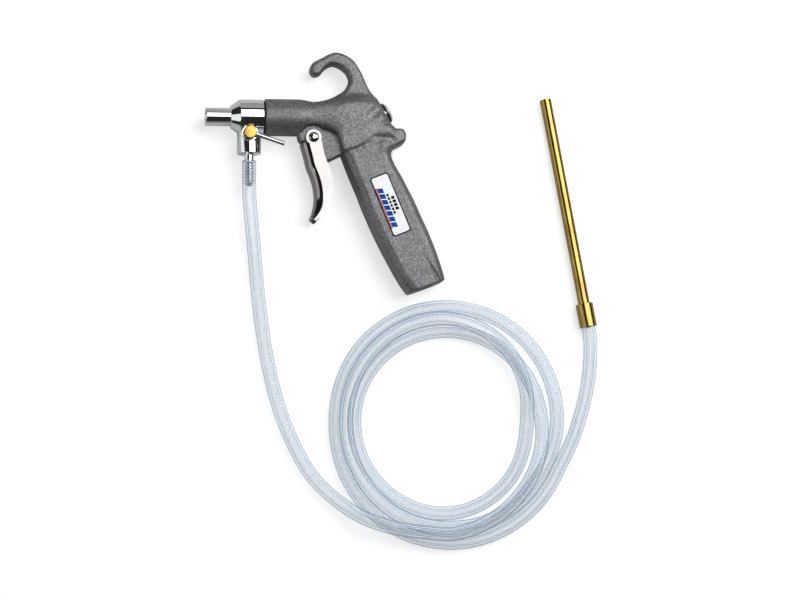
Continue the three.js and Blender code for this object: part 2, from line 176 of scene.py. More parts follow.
def nickel_steel():
    """Pressed steel with bright nickel: faint lengthwise polish marks."""
    s = Shader("nickel_steel", Metallic=1.0)
    marks = s.noise(90, 4, stretch=(6, 0.35, 2), roughness=0.65)
    colour = s.ramp(s.noise(60, 3), (0.3, (0.235, 0.225, 0.22)), (0.7, (0.275, 0.267, 0.262)))
    return s.use(Base_Color=colour, Roughness=s.span(marks, 0.06, 0.15), Normal=s.bump(marks, 0.05, 0.0004))


def chrome():
    """Chrome plate over turned brass: mirror bright, with faint turning rings and handling haze."""
    s = Shader("chrome", Metallic=1.0)
    haze = s.noise(150, 4)
    rings = s.noise(40, 2, stretch=(60, 1, 1))
    colour = s.ramp(haze, (0.25, (0.62, 0.635, 0.655)), (0.75, (0.76, 0.77, 0.785)))
    return s.use(Base_Color=colour, Roughness=s.span(haze, 0.03, 0.09), Normal=s.bump(rings, 0.03, 0.0002))


def brass(name, light, dark, rough_low, rough_high, stretch):
    """Turned or drawn brass: colour wanders between two tones, with fine marks along one way."""
    s = Shader(name, Metallic=1.0)
    marks = s.noise(160, 4, stretch=stretch, roughness=0.65)
    colour = s.ramp(s.mix(0.5, s.noise(70, 3), marks), (0.36, dark), (0.62, light))
    return s.use(Base_Color=colour, Roughness=s.span(marks, rough_low, rough_high),
                 Normal=s.bump(marks, 0.02, 0.0003))


def bright_nickel():
    """Nickel plate over a turned face: silvery, with soft turning marks."""
    s = Shader("bright_nickel", Metallic=1.0)
    marks = s.noise(220, 4, stretch=(4, 1, 1), roughness=0.6)
    colour = s.ramp(s.noise(130, 3), (0.3, (0.72, 0.72, 0.73)), (0.7, (0.88, 0.88, 0.885)))
    return s.use(Base_Color=colour, Roughness=s.span(marks, 0.26, 0.4), Normal=s.bump(marks, 0.08, 0.0003))


def plain_steel():
    """Turned steel: grey and smooth, with fine marks along the turning."""
    s = Shader("plain_steel", Metallic=1.0)
    marks = s.noise(300, 4, stretch=(1, 1, 6))
    colour = s.ramp(s.noise(140, 3), (0.3, (0.40, 0.40, 0.405)), (0.7, (0.60, 0.60, 0.605)))
    return s.use(Base_Color=colour, Roughness=s.span(marks, 0.05, 0.14), Normal=s.bump(marks, 0.06, 0.0003))


def soft_solid(name, dark, light, rough):
    """Rubber or nylon: matt, lightly mottled."""
    s = Shader(name)
    mottle = s.noise(900, 4)
    return s.use(Base_Color=s.ramp(mottle, (0.3, dark), (0.7, light)), Roughness=rough,
                 Normal=s.bump(mottle, 0.2, 0.0002))


def clear_vinyl():
    """Clear PVC tube: pale blue, see-through, glossy, with a painted highlight: a white line, glowing by
    emission, where each wall turns away.
    """
    s = Shader("clear_vinyl", Roughness=0.07, IOR=1.5, Coat_Weight=1.0, Coat_Roughness=0.03)
    edge = s.node("ShaderNodeLayerWeight", Blend=0.5).outputs["Facing"]
    streaks = s.noise(45, 3)
    body = s.ramp(edge, (0.0, 0.08), (0.06, 0.13), (0.15, 0.27), (0.34, 0.28), (0.5, 0.36),
                  (0.64, 0.55), (1.0, 0.75))
    # painted highlight: this band by facing is made more opaque and glows white below, a light line painted
    # along each wall
    line = s.ramp(edge, (0.2, 0.0), (0.235, 1.0), (0.27, 1.0), (0.305, 0.0))
    cloudy = s.mix(1.0, body, s.ramp(streaks, (0.25, 0.75), (0.75, 1.0)), "MULTIPLY")
    alpha = s.mix(line, cloudy, (0.62, 0.62, 0.62))
    pale = s.ramp(streaks, (0.3, (0.29, 0.43, 0.58)), (0.7, (0.41, 0.56, 0.71)))
    colour = s.mix(s.ramp(edge, (0.62, 0.0), (0.9, 1.0)), pale, (0.25, 0.36, 0.45))
    # the Emission inputs paint the highlight line as a white glow
    return s.use(Base_Color=colour, Alpha=alpha, Normal=s.bump(s.noise(200, 2), 0.01, 0.0004),
                 Emission_Color=(0.94, 0.98, 1, 1), Emission_Strength=s.span(line, 0, 0.9))


def printed(name, dark, light, rough=0.55, gloss=0.25, painted_glow=0.0):
    """Printed vinyl film: smooth, a little orange-peel, faint ink variation; white stock gets a painted glow,
    an emission that brightens it as if lit more.
    """
    s = Shader(name, Specular_IOR_Level=gloss, Emission_Color=(0.9, 0.96, 1, 1), Emission_Strength=painted_glow)
    peel = s.noise(700, 2)
    return s.use(Base_Color=s.ramp(s.noise(160, 3), (0.3, dark), (0.7, light)), Roughness=rough,
                 Normal=s.bump(peel, 0.05, 0.0002))


CASTING = blasted_aluminium()
NICKEL = nickel_steel()
CHROME = chrome()
YELLOW_BRASS = brass("yellow_brass", (0.40, 0.275, 0.07), (0.29, 0.185, 0.035), 0.12, 0.26, (1, 1, 8))
AGED_BRASS = brass("aged_brass", (0.42, 0.295, 0.085), (0.27, 0.175, 0.045), 0.12, 0.24, (5, 0.5, 5))
STEEL = plain_steel()
BRIGHT_NICKEL = bright_nickel()
RUBBER = soft_solid("black_rubber", (0.012, 0.012, 0.012), (0.03, 0.03, 0.03), 0.7)
NYLON = soft_solid("white_nylon", (0.62, 0.58, 0.50), (0.78, 0.75, 0.68), 0.5)
VINYL = clear_vinyl()
# the white film carries a painted glow that brightens it as if more light fell on it
LABEL_WHITE = printed("label_white", (0.88, 0.89, 0.90), (0.95, 0.955, 0.96), painted_glow=0.17)
LABEL_BLACK = printed("label_black", (0.004, 0.004, 0.005), (0.012, 0.012, 0.013), 0.7, 0.05)
LABEL_BLUE = printed("label_blue", (0.003, 0.05, 0.33), (0.006, 0.085, 0.44), gloss=0.1)
LABEL_RED = printed("label_red", (0.42, 0.006, 0.01), (0.55, 0.015, 0.02), gloss=0.1)


# ---- Mesh helpers ----

def piece(name, vertices, faces, material, body, replaces=(), smooth=True):
    mesh = bpy.data.meshes.new(name)
    mesh.from_pydata([tuple(v) for v in vertices], [], faces)
    mesh.materials.append(material)
    if smooth:
        mesh.shade_smooth()
    made = bpy.data.objects.new(name, mesh)
    bpy.context.collection.objects.link(made)
    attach(made, body)
    if replaces:
        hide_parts(*replaces)
    return made


def axis_matrix(origin, direction):
    """Places local Z along a direction, from an origin, both in metres."""
    turn = Vector((0, 0, 1)).rotation_difference(Vector(direction).normalized())
    return Matrix.Translation(Vector(origin)) @ turn.to_matrix().to_4x4()


def rounded(profile, radius, steps=3, closed=False):
    """A turned profile in mm with its corners rounded; end points on an open one stay as they are."""
    count = len(profile)
    corners = range(count) if closed else range(1, count - 1)
    made = [] if closed else [profile[0]]
    for i in corners:
        before, corner, after = (Vector(profile[(i + k) % count]) for k in (-1, 0, 1))
        reach = min(radius, (corner - before).length * 0.4, (after - corner).length * 0.4)
        start = corner + (before - corner).normalized() * reach
        end = corner + (after - corner).normalized() * reach
        for k in range(steps + 1):
            t = k / steps
            made.append(start * (1 - t) ** 2 + corner * 2 * t * (1 - t) + end * t ** 2)
    if not closed:
        made.append(profile[-1])
    return [tuple(p) for p in made]


def turned_geometry(profile, place, edge=0.25, closed=False, facets=96):
    """Vertices and faces of a solid turned about local Z. Profile points are [radius, distance] in mm."""
    vertices, faces, rings = [], [], []
    for radius, along in rounded(profile, edge, closed=closed):
        if radius < 1e-6:
            rings.append([len(vertices)])
            vertices.append(place @ Vector((0, 0, along * MM)))
            continue
        rings.append(list(range(len(vertices), len(vertices) + facets)))
        for k in range(facets):
            turn = TURN * k / facets
            vertices.append(place @ (Vector((radius * cos(turn), radius * sin(turn), along)) * MM))
    pairs = list(zip(rings, rings[1:])) + ([(rings[-1], rings[0])] if closed else [])
    for low, high in pairs:
        for k in range(facets):
            n = (k + 1) % facets
            if len(low) == 1 and len(high) == 1:
                continue
            if len(low) == 1:
                faces.append((low[0], high[n], high[k]))
            elif len(high) == 1:
                faces.append((low[k], low[n], high[0]))
            else:
                faces.append((low[k], low[n], high[n], high[k]))
    return vertices, faces


def turned(name, profile, place, material, body, slot, replaces=(), **shape):
    vertices, faces = turned_geometry(profile, place, **shape)
    made = piece(name, vertices, faces, material, body, replaces)
    outward(made)
    crisp(made)
    return made


def crisp(made, angle=38):
    """Keeps sharp edges sharp and flat faces flat, with everything else smooth."""
    made.data.set_sharp_from_angle(angle=radians(angle))
    modifier = made.modifiers.new("even_normals", "WEIGHTED_NORMAL")
    modifier.keep_sharp = True


def scratch(vertices, faces):
    """A solid that only serves to be joined to another or cut out of it."""
    mesh = bpy.data.meshes.new("scratch")
    mesh.from_pydata([tuple(v) for v in vertices], [], faces)
    made = bpy.data.objects.new("scratch", mesh)
    bpy.context.collection.objects.link(made)
    outward(made)
    return made


def combine(base, joins=(), cuts=()):
    """Joins solids to a scratch base and cuts others out of it; returns its vertices and faces."""
    tools = [(tool, "UNION") for tool in joins] + [(tool, "DIFFERENCE") for tool in cuts]
    for tool, operation in tools:
        modifier = base.modifiers.new(operation, "BOOLEAN")
        modifier.object = tool
        modifier.operation = operation
        modifier.solver = "EXACT"
    result = bpy.data.meshes.new_from_object(base.evaluated_get(bpy.context.evaluated_depsgraph_get()))
    vertices = [v.co.copy() for v in result.vertices]
    faces = [tuple(f.vertices) for f in result.polygons]
    for made in (base, *(tool for tool, _ in tools)):
        bpy.data.objects.remove(made)
    return vertices, faces


def rod(radius, start, end, place, edge=0.0, facets=96):
    return scratch(*turned_geometry([[0, start], [radius, start], [radius, end], [0, end]], place,
                                    edge=edge, facets=facets))


def outward(made):
    """Turns a closed mesh's faces outwards."""
    mesh = made.data
    volume = 0.0
    for face in mesh.polygons:
        corners = [mesh.vertices[i].co for i in face.vertices]
        for a, b in zip(corners[1:], corners[2:]):
            volume += corners[0].dot(a.cross(b))
    if volume < 0:
        mesh.flip_normals()


# ---- Solids from distance fields ----

def spline(points, steps, closed=False):
    """A smooth line through a few points (centripetal Catmull-Rom), with a few steps for each."""
    pts = [np.array(p, float) for p in points]
    count = len(pts)
    if closed:
        padded = [pts[-1], *pts, pts[0], pts[1]]
    else:
        padded = [2 * pts[0] - pts[1], *pts, 2 * pts[-1] - pts[-2]]
    made = []
    for i in range(count if closed else count - 1):
        p0, p1, p2, p3 = padded[i:i + 4]
        t0 = 0.0
        t1 = t0 + sqrt(np.linalg.norm(p1 - p0))
        t2 = t1 + sqrt(np.linalg.norm(p2 - p1))
        t3 = t2 + sqrt(np.linalg.norm(p3 - p2))
        for k in range(steps):
            t = t1 + (t2 - t1) * k / steps
            a1 = (t1 - t) / (t1 - t0) * p0 + (t - t0) / (t1 - t0) * p1
            a2 = (t2 - t) / (t2 - t1) * p1 + (t - t1) / (t2 - t1) * p2
            a3 = (t3 - t) / (t3 - t2) * p2 + (t - t2) / (t3 - t2) * p3
            b1 = (t2 - t) / (t2 - t0) * a1 + (t - t0) / (t2 - t0) * a2
            b2 = (t3 - t) / (t3 - t1) * a2 + (t - t1) / (t3 - t1) * a3
            made.append((t2 - t) / (t2 - t1) * b1 + (t - t1) / (t2 - t1) * b2)
    if not closed:
        made.append(pts[-1])
    return made


class Field:
    """A block of space, in mm from the gun's mid-plane, sampled evenly to hold distances to a solid."""

    def __init__(self, low, high, step):
        self.low, self.step = np.array(low, float), step
        axes = [np.arange(a, b + step, step, dtype=np.float32) for a, b in zip(low, high)]
        self.x, self.y, self.z = axes[0][:, None, None], axes[1][None, :, None], axes[2][None, None, :]

    def outline(self, points):
        """Signed distance in the mid-plane to a closed outline, negative inside."""
        px, py = self.x[:, :, 0], self.y[:, :, 0]
        best = np.full(np.broadcast(px, py).shape, 1e9, np.float32)
        inside = np.zeros(best.shape, bool)
        for (ax, ay), (bx, by) in zip(points, [*points[1:], points[0]]):
            ex, ey = bx - ax, by - ay
            t = np.clip(((px - ax) * ex + (py - ay) * ey) / max(ex * ex + ey * ey, 1e-9), 0, 1)
            best = np.minimum(best, (px - ax - t * ex) ** 2 + (py - ay - t * ey) ** 2)
            crosses = ((ay > py) != (by > py)) & (px < (bx - ax) * (py - ay) / (by - ay + 1e-12) + ax)
            inside ^= crosses
        return (np.sqrt(best) * np.where(inside, -1, 1))[:, :, None]

    def plate(self, points, half, edge):
        """An outline given thickness across the mid-plane, with rounded edges."""
        return round_meet(self.outline(points), np.abs(self.z) - half, edge)

    def cylinder(self, origin, direction, radius, start=-1e3, end=1e3):
        """A rod about an axis; all in mm, z from the mid-plane."""
        d = np.array(direction, float) / np.linalg.norm(direction)
        gx, gy, gz = self.x - origin[0], self.y - origin[1], self.z - origin[2]
        along = gx * d[0] + gy * d[1] + gz * d[2]
        away = np.sqrt(np.maximum(gx * gx + gy * gy + gz * gz - along * along, 0))
        return np.maximum(away - radius, np.maximum(start - along, along - end))

    def capsule(self, a, b, radius):
        a, b = np.array(a, float), np.array(b, float)
        e = b - a
        gx, gy, gz = self.x - a[0], self.y - a[1], self.z - a[2]
        t = np.clip((gx * e[0] + gy * e[1] + gz * e[2]) / e.dot(e), 0, 1)
        return np.sqrt((gx - t * e[0]) ** 2 + (gy - t * e[1]) ** 2 + (gz - t * e[2]) ** 2) - radius

    def mesh(self, name, values, material, body, slot, replaces):
        grid = openvdb.FloatGrid(self.step * 3)
        grid.copyFromArray(np.ascontiguousarray(values, dtype=np.float32))
        points, _, quads = grid.convertToPolygons(0.0, 0.0)
        places = (points * self.step + self.low + np.array([0, 0, GUN_MID / MM])) * MM
        made = piece(name, places.tolist(), quads.tolist(), material, body, replaces)
        outward(made)
        return made


def round_meet(a, b, radius):
    """Where two half-spaces meet: the inside of both, with the edge between them rounded."""
    ra, rb = a + radius, b + radius
    corner = np.sqrt(np.maximum(ra, 0) ** 2 + np.maximum(rb, 0) ** 2)
    return corner + np.minimum(np.maximum(ra, rb), 0) - radius


def join(a, b, blend):
    """Smooth union; blend is about how far the fillet reaches, in mm."""
    h = np.clip(0.5 + 0.5 * (b - a) / blend, 0, 1)
    return b * (1 - h) + a * h - blend * h * (1 - h)


def cut(a, b, blend=0.5):
    """Smoothly takes b away from a."""
    return -join(-a, b, blend)


# ---- The hose: one clear tube over the barb, along its lead, round the coil and into the ferrule ----

HOSE_R, HOSE_BORE = 4.76, 3.18
LEAD_IN = [
    (-50.8, 7.6, 12.6), (-50.8, -1, 12.6), (-50.8, -9.8, 12.6), (-50.6, -18.6, 12.3),
    (-49.4, -32.3, 10.9), (-48, -45.7, 8.8), (-46.7, -59, 6.8), (-45.5, -72.4, 5.4),
    (-44.3, -85.9, 4.9), (-41, -113, 4.85), (-36, -139.9, 4.85), (-28.4, -166.8, 4.85),
    (-16.3, -193.7, 4.85), (-7.3, -207.1, 4.85), (2.7, -217.2, 4.85), (15.5, -227.3, 7.6),
]
LEAD_OUT = [
    (171.5, -175.4, 4.85), (174.3, -167.2, 4.85), (177.6, -156.2, 4.85), (180.2, -145.4, 4.85),
    (182, -134.4, 4.95), (182.9, -123.6, 5.3), (182.9, -113.2, 5.95), (181.8, -103.7, 6.25),
    (179.8, -91.9, 6.09),
]
COIL_CENTRE = (81.8, -169.2)
# The turns as (angle in degrees, radius, height), anticlockwise from the side away from the gun. The
# first turn lies across the last one before it drops inside; the second climbs over the first.
COIL_TURNS = [
    (0, 75.2, 14.2), (25, 71.6, 14.7), (45, 69.0, 14.5), (62, 67.4, 13.6), (78, 66.5, 9.9), (94, 65.8, 5.2),
    (135, 64.2, 4.9), (180, 62.6, 4.9), (225, 62.2, 4.9), (270, 62.2, 4.9), (315, 61.6, 4.9),
    (360, 60.9, 4.9), (405, 58.0, 4.9), (448, 55.8, 5.1), (473, 58.8, 12.3), (495, 63.2, 14.6),
    (518, 67.4, 13.9), (540, 70.7, 10.8), (585, 69.8, 11.7), (630, 68.6, 12.5), (675, 69.7, 10.2),
    (698, 70.4, 8.1), (722, 70.7, 4.9), (742, 71.8, 4.9), (765, 72.8, 4.9), (784, 73.6, 4.9),
    (796, 75.2, 4.9), (810, 76.9, 4.9), (855, 79.4, 4.9), (900, 79.0, 4.9), (945, 77.0, 4.9),
    (990, 74.8, 4.9), (1035, 77.9, 4.9), (1080, 80.6, 4.9), (1125, 82.4, 4.9), (1144, 83.2, 4.9),
]


def coil_route():
    """The coil's turns as points, worked out at every 5 degrees or less."""
    made = []
    for turn, radius, height in spline(COIL_TURNS, 5):
        angle = radians(turn - 90)
        made.append((COIL_CENTRE[0] + radius * cos(angle), COIL_CENTRE[1] + radius * sin(angle),
                     max(height, HOSE_R + 0.05)))
    return made


def hose_route():
    approach = [(26.4, -233.8, 12.7), (39.5, -238.6, 14.5), (52.6, -241.4, 14.6), (66.6, -243.1, 14.7)]
    leave = [(161.6, -196.0, 4.9), (167.2, -185.4, 4.9)]
    controls = [*LEAD_IN, *approach, *coil_route(), *leave, *LEAD_OUT]
    return [Vector((x, y, max(z, HOSE_R + 0.05))) * MM for x, y, z in spline(controls, 3)]


def tube_mesh(route, outer, inner, sides):
    """A hollow tube along a route, with its wall closed at both ends."""
    vertices, faces = [], []
    ahead = (route[1] - route[0]).normalized()
    across = ahead.orthogonal().normalized()
    for i, place in enumerate(route):
        new = (route[min(i + 1, len(route) - 1)] - route[max(i - 1, 0)]).normalized()
        across = (ahead.rotation_difference(new) @ across).normalized()
        across = (across - new * across.dot(new)).normalized()
        ahead = new
        other = ahead.cross(across)
        for radius in (outer, inner):
            for k in range(sides):
                turn = TURN * k / sides
                vertices.append(place + (across * cos(turn) + other * sin(turn)) * radius)
    ring = 2 * sides
    for i in range(len(route) - 1):
        for k in range(sides):
            n = (k + 1) % sides
            a = i * ring
            faces.append((a + k, a + n, a + ring + n, a + ring + k))
            b = a + sides
            faces.append((b + n, b + k, b + ring + k, b + ring + n))
    for k in range(sides):
        n = (k + 1) % sides
        faces.append((n, k, sides + k, sides + n))
        a = (len(route) - 1) * ring
        faces.append((a + k, a + n, a + sides + n, a + sides + k))
    return vertices, faces


def make_hose():
    route = hose_route()
    vertices, faces = tube_mesh(route, HOSE_R * MM, HOSE_BORE * MM, 24)
    hose = piece("pickup_hose", vertices, faces, VINYL, "gun",
                 ("hose_lead_in", "hose_coil", "hose_lead_out"))
    outward(hose)


# ---- Axes that the pieces are turned on, and the measures they share with the CAD, in mm ----

BARREL_Y = 37.4
HALF_THICK, GRIP_HALF, HOOK_HALF, TAIL_HALF, LUG_HALF = 12.6, 11.8, 6.0, 10.0, 6.5
PIVOT_X, PIVOT_Y = PIVOT.x / MM, PIVOT.y / MM
CAP_X, CAP_Y = CAP_CENTRE.x / MM, CAP_CENTRE.y / MM
HEEL, TOE = Vector((80.24, -73.8, 0)), Vector((56.8, -82.5, 0))
GRIP_OUT = Vector((HEEL.y - TOE.y, TOE.x - HEEL.x, 0)).normalized()
FERRULE_MOUTH, PICKUP_TIP = Vector((181.8, -103.7, 6.25)), Vector((155.5, 54.3, 4.05))
PICKUP_LENGTH = (PICKUP_TIP - FERRULE_MOUTH).length

barrel_line = axis_matrix((0, BARREL_Y * MM, GUN_MID), (-1, 0, 0))
valve_line = axis_matrix((CAP_CENTRE.x, CAP_CENTRE.y, GUN_MID), -VALVE_BACK)
pivot_line = Matrix.Translation((PIVOT.x, PIVOT.y, 0))
plug_line = Matrix.Translation((PLUG_AXIS.x, PLUG_AXIS.y, 0))
boss_line = axis_matrix((PLUG_AXIS.x, 0, GUN_MID), (0, 1, 0))
pickup_line = axis_matrix(FERRULE_MOUTH * MM, PICKUP_TIP - FERRULE_MOUTH)


# ---- Gun body: one casting, built as a distance field so that its parts flow into each other ----

GRIP_FRONT = [(10.6, 15.5), (11.9, 11.7), (14.3, 4.9), (18.0, -4.6), (22.1, -14.5), (25.5, -23.6),
              (29.2, -32.5), (33.0, -41.3), (39.1, -53.9), (47.6, -69.9), (52.0, -77.2), (56.2, -82.8),
              (60.0, -87.5)]
GRIP_BACK = [(81.6, -80.0), (80.7, -74.0), (79.6, -69.0), (77.5, -61.7), (74.8, -53.6), (71.7, -45.4),
             (68.3, -37.2), (64.6, -29.1), (60.2, -18.9), (57.1, -12.8), (53.0, -4.6), (49.3, 1.9),
             (46.4, 7.4), (45.0, 13.0), (44.6, 22.0)]
HOUSING = [(-8.0, 32.0), (0, 30.8), (4.4, 28.4), (8.2, 25.0), (10.2, 19.9), (11.2, 15.8), (11.8, 13.1),
           (15.3, 13.0), (20.1, 14.1), (24.8, 16.2), (30.3, 18.5), (35.7, 20.9), (41.1, 22.3),
           (47.3, 23.4), (47.2, 29.4), (43.9, 36.2), (38.4, 45.4), (34.5, 49.2), (22.0, 51.0),
           (8.0, 48.6), (0, 47.4), (-8.0, 44.0)]
HOOK = [(2.0, 44.0), (7.8, 51.2), (13.9, 56.3), (17.3, 63.4), (14.6, 69.5), (6.5, 73.7), (1.0, 70.9),
        (-3.1, 66.5), (-7.3, 66.3), (-9.4, 70.0), (-7.6, 74.6), (-2.4, 77.7), (8.5, 82.5), (19.4, 78.0),
        (25.5, 69.2), (30.3, 58.3), (37.0, 46.0), (30.0, 38.0)]
TAIL = [(38.0, 13.5), (45.9, 16.2), (52.0, 19.2), (54.7, 20.6), (55.4, 23.5), (55.3, 26.5), (53.6, 29.4),
        (51.3, 29.9), (48.6, 28.9), (38.0, 31.0)]
CREASE = [(14.0, 12.8), (20.5, 14.0), (25.0, 16.0), (35.7, 20.6), (45.0, 22.6)]
LUG = [(-18.0, 34.0), (-17.8, 24.5), (-17.3, 21.9), (-15.6, 20.2), (-7.8, 18.5), (-1.0, 6.8), (3.1, 7.7),
       (11.2, 11.7), (16.0, 16.0), (10.0, 34.0)]


def gun_body_field(block):
    x, y, across = block.x, block.y, np.abs(block.z)
    radius = np.interp(x, [-40, -16, -7, 4], [12.6, 12.6, 11.0, 10.9])
    barrel = np.maximum(np.hypot(y - BARREL_Y, block.z) - radius, x - 24)

    softness = np.clip((x - 9 + 0.9 * (y - 22)) / 22, 0, 1)
    half = np.interp(x, [-9, 12], [9.2, HALF_THICK])
    housing = round_meet(block.outline(HOUSING), across - half, 1.8 + 4.6 * softness)
    for side in (1, -1):
        upper = block.capsule((29.5, 36.0, side * 15.9), (38.0, 44.2, side * 13.4), 3.3)
        lower = block.capsule((36.0, 30.6, side * 14.6), (46.4, 34.6, side * 11.6), 1.8)
        housing = cut(cut(housing, upper, 3), lower, 1.5)

    grip = block.plate([*spline(GRIP_FRONT, 3), *spline(GRIP_BACK, 3), (28, 30)], GRIP_HALF, 6.4)
    grip_end = (x - TOE.x) * GRIP_OUT.x + (y - TOE.y) * GRIP_OUT.y
    grip = round_meet(grip, grip_end, 0.9)
    for side in (1, -1):
        grip = cut(grip, block.capsule((62.5, -52.5, side * 13.6), (76.4, -75.0, side * 11.4), 1.25), 0.5)

    tail = block.plate(TAIL, TAIL_HALF, 2.6)
    hook = block.plate(spline(HOOK, 5, closed=True), HOOK_HALF, 2.8)

    body = join(barrel, housing, 5)
    body = join(body, grip, 1.0)
    body = join(body, tail, 5)
    body = join(body, hook, 6)
    body = round_meet(body, across - HALF_THICK, 0.3)
    for a, b in zip(CREASE, CREASE[1:]):
        for side in (1, -1):
            body = cut(body, block.capsule((*a, side * 13.3), (*b, side * 13.3), 1.7), 1.2)
    ear_room = np.maximum(np.hypot(x - PIVOT_X, y - PIVOT_Y) - 8.6, LUG_HALF - across)
    body = cut(body, ear_room, 0.8)
    body = join(body, block.plate(LUG, LUG_HALF, 0.8), 0.7)
    return round_meet(body, -40.1 - x, 0.5)


def gun_body_openings(block):
    """The machined holes that show: thread and bore of the barrel, valve line, pivot and air inlet."""
    end = (HEEL + TOE) / 2
    return [
        block.cylinder((0, BARREL_Y, 0), (-1, 0, 0), 6.6, 27.6, 60),
        block.cylinder((0, BARREL_Y, 0), (-1, 0, 0), 4.0, 14, 60),
        block.cylinder((PIVOT_X, PIVOT_Y, 0), (0, 0, 1), 2.05),
        block.cylinder((CAP_X, CAP_Y, 0), -VALVE_BACK, 7.9, -20, 0),
        block.cylinder((CAP_X, CAP_Y, 0), -VALVE_BACK, 5.9, -1, 14),
        block.cylinder((CAP_X, CAP_Y, 0), -VALVE_BACK, 1.9, 13, 46),
        block.cylinder((CAP_X, CAP_Y, 0), -VALVE_BACK, 4.25, 44, 64),
        block.cylinder(end, GRIP_OUT, 5.95, -13, 5),
        block.cylinder(end, GRIP_OUT, 3.5, -22, 5),
    ]


def make_gun_body():
    block = Field((-41.4, -84, -13.8), (82.2, 84.6, 13.8), 0.58)
    values = gun_body_field(block)
    for opening in gun_body_openings(block):
        values = cut(values, opening, 0.3)
    block.mesh("cast_gun_body", values, CASTING, "gun", "cast_aluminium", ("gun_body",))


make_gun_body()


# ---- Trigger: pressed from sheet, a channel with full corners that hangs on its pin ----

TRIGGER_HALF, TRIGGER_WALL, EAR = 8.5, 1.6, 5.5
TRIGGER_WEB = [(-16.3, 18.8), (-15.0, 14.5), (-13.6, 9.0), (-12.2, 2.9), (-10.5, -1.2), (-8.8, -6.0),
               (-7.6, -11.4), (-7.1, -16.8), (-7.3, -20.9), (-8.2, -25.7), (-9.2, -29.0), (-10.1, -31.6)]
TRIGGER_EDGE = [(-2.3, 20.6), (-1.4, 15.0), (0.3, 8.3), (2.2, 3.9), (3.6, -0.5), (4.5, -5.6),
                (4.8, -10.6), (4.2, -15.5), (2.6, -21.0), (0.3, -26.0), (-2.6, -30.2), (-6.6, -34.2)]


def trigger_section(web, edge, drop):
    """Half of the channel's section at one place: from its near edge round the corner to the middle."""
    web, edge = Vector((*web, 0)), Vector((*edge, 0))
    ahead = (web - edge).normalized()
    depth = (web - edge).length - drop
    half = TRIGGER_HALF - drop
    corner = min(5.6, 0.62 * depth) - drop * 0.6
    points = [edge + Vector((0, 0, half)), edge + ahead * (depth - corner) * 0.5 + Vector((0, 0, half))]
    for k in range(9):
        turn = pi / 2 * k / 8
        points.append(edge + ahead * (depth - corner + corner * sin(turn))
                      + Vector((0, 0, half - corner + corner * cos(turn))))
    points.append(edge + ahead * depth + Vector((0, 0, (half - corner) * 0.4)))
    return points


def make_trigger():
    """The channel is a row of sections from top to bottom; two round ears carry it on the pin."""
    rows = list(zip(spline(TRIGGER_WEB, 5), spline(TRIGGER_EDGE, 5)))
    vertices, faces = [], []
    for web, edge in rows:
        outer = trigger_section(web, edge, 0)
        inner = trigger_section(web, edge, TRIGGER_WALL)
        ring = [*outer, *(Vector((p.x, p.y, -p.z)) for p in reversed(outer)),
                *(Vector((p.x, p.y, -p.z)) for p in inner), *reversed(inner)]
        vertices += [(p + Vector((0, 0, GUN_MID / MM))) * MM for p in ring]
    around = len(ring)
    for i in range(len(rows) - 1):
        for k in range(around):
            n = (k + 1) % around
            faces.append((i * around + k, i * around + n, (i + 1) * around + n, (i + 1) * around + k))
    for k in range(around // 2 - 1):
        end = [k + 1, k, around - 1 - k, around - 2 - k]
        faces.append(end)
        faces.append([(len(rows) - 1) * around + i for i in reversed(end)])
    channel = scratch(vertices, faces)
    ears = []
    for start in (TRIGGER_WALL - TRIGGER_HALF, TRIGGER_HALF):
        low, high = sorted((start, start - TRIGGER_WALL))
        level = GUN_MID / MM
        ears.append(rod(EAR, level + low, level + high, pivot_line, edge=0.35))
    hole = rod(2.0, 0, 2 * GUN_MID / MM, pivot_line)
    vertices, faces = combine(channel, ears, [hole])
    made = piece("nickel_trigger", vertices, faces, NICKEL, "trigger", ("trigger",))
    crisp(made)


make_trigger()


# ---- Siphon head, nozzle tube, petcock and hose barb ----

def make_head():
    shell = scratch(*turned_geometry([
        [3.0, 29.1], [6.4, 29.1], [6.4, 41.0], [11.5, 41.0], [12.0, 41.5], [12.0, 57.1], [7.6, 63.2],
        [6.5, 63.2], [6.5, 52.0], [3.0, 52.0],
    ], barrel_line, edge=0.3, closed=True))
    boss = scratch(*turned_geometry([[3.35, 12.1], [8.0, 12.1], [8.0, 28.9], [3.35, 28.9]], boss_line,
                                    edge=0.6, closed=True))
    pad = rod(5.6, 3.9, 20.9, plug_line, edge=0.4)
    cuts = [rod(3.3, -2, 30, plug_line), rod(5.2, 20.8, 29, plug_line), rod(5.2, -3, 4.0, plug_line)]
    vertices, faces = combine(shell, [boss, pad], cuts)
    made = piece("chrome_head", vertices, faces, CHROME, "gun", ("siphon_head",))
    crisp(made, 30)
    turned("chrome_nozzle", [
        [4.0, 57.5], [6.2, 57.5], [6.2, 79.6], [5.7, 80.24], [4.6, 80.24], [4.0, 79.7],
    ], barrel_line, CHROME, "gun", "chrome_plate", ("nozzle_tube",), closed=True, edge=0.15)


def make_petcock():
    turned("brass_plug", [
        [0, 0.6], [1.6, 0.6], [1.6, 3.7], [2.9, 3.9], [2.9, 21.0], [4.55, 21.0], [4.55, 24.0], [4.0, 24.6],
        [0, 24.45],
    ], plug_line, YELLOW_BRASS, "petcock", "yellow_brass", ("metering_plug",))
    lean = radians(-18.4)
    handle_line = axis_matrix((PLUG_AXIS.x, PLUG_AXIS.y, 0.0228), (cos(lean), sin(lean), 0))
    turned("petcock_handle", [[0, -4], [1.5, -4], [1.5, 24.3], [0, 24.3]], handle_line, STEEL, "petcock",
           "steel", ("plug_handle",), edge=0.7, facets=48)


